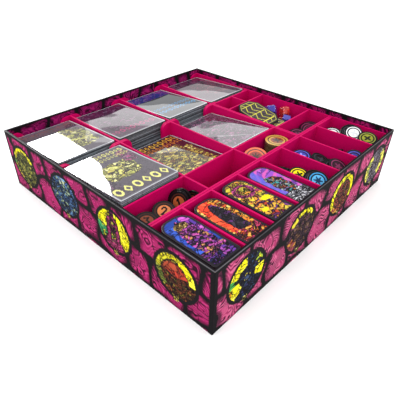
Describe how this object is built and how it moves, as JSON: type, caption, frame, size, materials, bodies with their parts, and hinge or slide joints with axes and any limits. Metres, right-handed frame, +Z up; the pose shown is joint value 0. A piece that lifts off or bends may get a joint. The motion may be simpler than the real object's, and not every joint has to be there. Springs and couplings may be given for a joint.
{
  "type": "board game box",
  "caption": "Open square rigid games box: printed paper-wrapped chipboard base holding lift-out magenta foam trays with sleeved card decks, arched tiles, round tokens and cubes.",
  "frame": {"origin": "centre of the footprint, on the surface the box stands on", "axes": "+Z up out of the open box, +X to the right along the front wall, +Y from the front wall (by the tile tray) to the back"},
  "size_m": [0.3, 0.3, 0.067],
  "materials": {
    "printed_wrap": "satin laminated print of magenta cells with black outlines",
    "black_paper": "matt black paper",
    "brown_paper": "gummed kraft paper",
    "chipboard": "grey chipboard",
    "magenta_foam": "matt foam sheet",
    "sleeved_cards": "cards in glossy clear sleeves",
    "printed_tiles": "printed card tiles with black edges",
    "card_tokens": "printed round card tokens with black rims",
    "wood_counters": "lacquered wooden counters",
    "acrylic": "translucent coloured acrylic"
  },
  "bodies": {
    "box": {"base_paper": "black_paper", "bottom_board": "chipboard", "wall_front": "chipboard", "wall_back": "chipboard", "wall_left": "chipboard", "wall_right": "chipboard", "corner_stays": "brown_paper", "floor_liner": "black_paper", "printed_wrap": "printed_wrap"},
    "front_tray": {"front_tray_floor": "magenta_foam", "front_tray_front": "magenta_foam", "front_tray_back": "magenta_foam", "front_tray_left": "magenta_foam", "front_tray_right": "magenta_foam", "front_tray_dividers": "magenta_foam"},
    "middle_tray": {"middle_tray_floor": "magenta_foam", "middle_tray_front": "magenta_foam", "middle_tray_back": "magenta_foam", "middle_tray_left": "magenta_foam", "middle_tray_right": "magenta_foam", "middle_tray_cross_wall": "magenta_foam", "middle_tray_dividers": "magenta_foam"},
    "side_tray": {"side_tray_floor": "magenta_foam", "side_tray_front": "magenta_foam", "side_tray_back": "magenta_foam", "side_tray_left": "magenta_foam", "side_tray_right": "magenta_foam", "side_tray_cross_walls": "magenta_foam", "side_tray_split_wall": "magenta_foam"},
    "rear_tray": {"rear_tray_floor": "magenta_foam", "rear_tray_front": "magenta_foam", "rear_tray_back": "magenta_foam", "rear_tray_left": "magenta_foam", "rear_tray_right": "magenta_foam", "rear_tray_dividers": "magenta_foam"},
    "rear_deck_1": {"rear_deck_1": "sleeved_cards"},
    "rear_deck_2": {"rear_deck_2": "sleeved_cards"},
    "rear_deck_3": {"rear_deck_3": "sleeved_cards"},
    "rear_deck_4": {"rear_deck_4": "sleeved_cards"},
    "treasure_deck": {"treasure_deck": "sleeved_cards"},
    "event_deck": {"event_deck": "sleeved_cards"},
    "spell_deck": {"spell_deck": "sleeved_cards"},
    "numbered_tokens": {"numbered_tokens": "card_tokens"},
    "round_counters": {"round_counters": "wood_counters"},
    "arched_tiles_1": {"arched_tiles_1": "printed_tiles"},
    "arched_tiles_2": {"arched_tiles_2": "printed_tiles"},
    "arched_tiles_3": {"arched_tiles_3": "printed_tiles"},
    "arched_tiles_4": {"arched_tiles_4": "printed_tiles"},
    "round_tokens_1": {"round_tokens_1": "card_tokens"},
    "round_tokens_2": {"round_tokens_2": "card_tokens"},
    "round_tokens_3": {"round_tokens_3": "card_tokens"},
    "round_tokens_4": {"round_tokens_4": "card_tokens"},
    "dark_tokens": {"dark_tokens": "card_tokens"},
    "clipped_tiles": {"clipped_tiles": "printed_tiles"},
    "acrylic_cubes": {"acrylic_cubes": "acrylic"}
  },
  "joints": [
    {"name": "front_tray_lift", "type": "slide", "parent": "box", "child": "front_tray", "axis": [0, 0, 1], "range_m": [0, 0.1]},
    {"name": "middle_tray_lift", "type": "slide", "parent": "box", "child": "middle_tray", "axis": [0, 0, 1], "range_m": [0, 0.1]},
    {"name": "side_tray_lift", "type": "slide", "parent": "box", "child": "side_tray", "axis": [0, 0, 1], "range_m": [0, 0.1]},
    {"name": "rear_tray_lift", "type": "slide", "parent": "box", "child": "rear_tray", "axis": [0, 0, 1], "range_m": [0, 0.1]},
    {"name": "rear_deck_1_lift", "type": "slide", "parent": "rear_tray", "child": "rear_deck_1", "axis": [0, 0, 1], "range_m": [0, 0.09]},
    {"name": "rear_deck_2_lift", "type": "slide", "parent": "rear_tray", "child": "rear_deck_2", "axis": [0, 0, 1], "range_m": [0, 0.09]},
    {"name": "rear_deck_3_lift", "type": "slide", "parent": "rear_tray", "child": "rear_deck_3", "axis": [0, 0, 1], "range_m": [0, 0.09]},
    {"name": "rear_deck_4_lift", "type": "slide", "parent": "rear_tray", "child": "rear_deck_4", "axis": [0, 0, 1], "range_m": [0, 0.09]},
    {"name": "treasure_deck_lift", "type": "slide", "parent": "middle_tray", "child": "treasure_deck", "axis": [0, 0, 1], "range_m": [0, 0.09]},
    {"name": "event_deck_lift", "type": "slide", "parent": "middle_tray", "child": "event_deck", "axis": [0, 0, 1], "range_m": [0, 0.09]},
    {"name": "spell_deck_lift", "type": "slide", "parent": "middle_tray", "child": "spell_deck", "axis": [0, 0, 1], "range_m": [0, 0.09]},
    {"name": "numbered_tokens_lift", "type": "slide", "parent": "middle_tray", "child": "numbered_tokens", "axis": [0, 0, 1], "range_m": [0, 0.09]},
    {"name": "round_counters_lift", "type": "slide", "parent": "middle_tray", "child": "round_counters", "axis": [0, 0, 1], "range_m": [0, 0.09]},
    {"name": "arched_tiles_1_lift", "type": "slide", "parent": "front_tray", "child": "arched_tiles_1", "axis": [0, 0, 1], "range_m": [0, 0.09]},
    {"name": "arched_tiles_2_lift", "type": "slide", "parent": "front_tray", "child": "arched_tiles_2", "axis": [0, 0, 1], "range_m": [0, 0.09]},
    {"name": "arched_tiles_3_lift", "type": "slide", "parent": "front_tray", "child": "arched_tiles_3", "axis": [0, 0, 1], "range_m": [0, 0.09]},
    {"name": "arched_tiles_4_lift", "type": "slide", "parent": "front_tray", "child": "arched_tiles_4", "axis": [0, 0, 1], "range_m": [0, 0.09]},
    {"name": "round_tokens_1_lift", "type": "slide", "parent": "front_tray", "child": "round_tokens_1", "axis": [0, 0, 1], "range_m": [0, 0.09]},
    {"name": "round_tokens_2_lift", "type": "slide", "parent": "front_tray", "child": "round_tokens_2", "axis": [0, 0, 1], "range_m": [0, 0.09]},
    {"name": "round_tokens_3_lift", "type": "slide", "parent": "front_tray", "child": "round_tokens_3", "axis": [0, 0, 1], "range_m": [0, 0.09]},
    {"name": "round_tokens_4_lift", "type": "slide", "parent": "front_tray", "child": "round_tokens_4", "axis": [0, 0, 1], "range_m": [0, 0.09]},
    {"name": "dark_tokens_lift", "type": "slide", "parent": "side_tray", "child": "dark_tokens", "axis": [0, 0, 1], "range_m": [0, 0.09]},
    {"name": "clipped_tiles_lift", "type": "slide", "parent": "side_tray", "child": "clipped_tiles", "axis": [0, 0, 1], "range_m": [0, 0.09]},
    {"name": "acrylic_cubes_lift", "type": "slide", "parent": "side_tray", "child": "acrylic_cubes", "axis": [0, 0, 1], "range_m": [0, 0.09]}
  ]
}
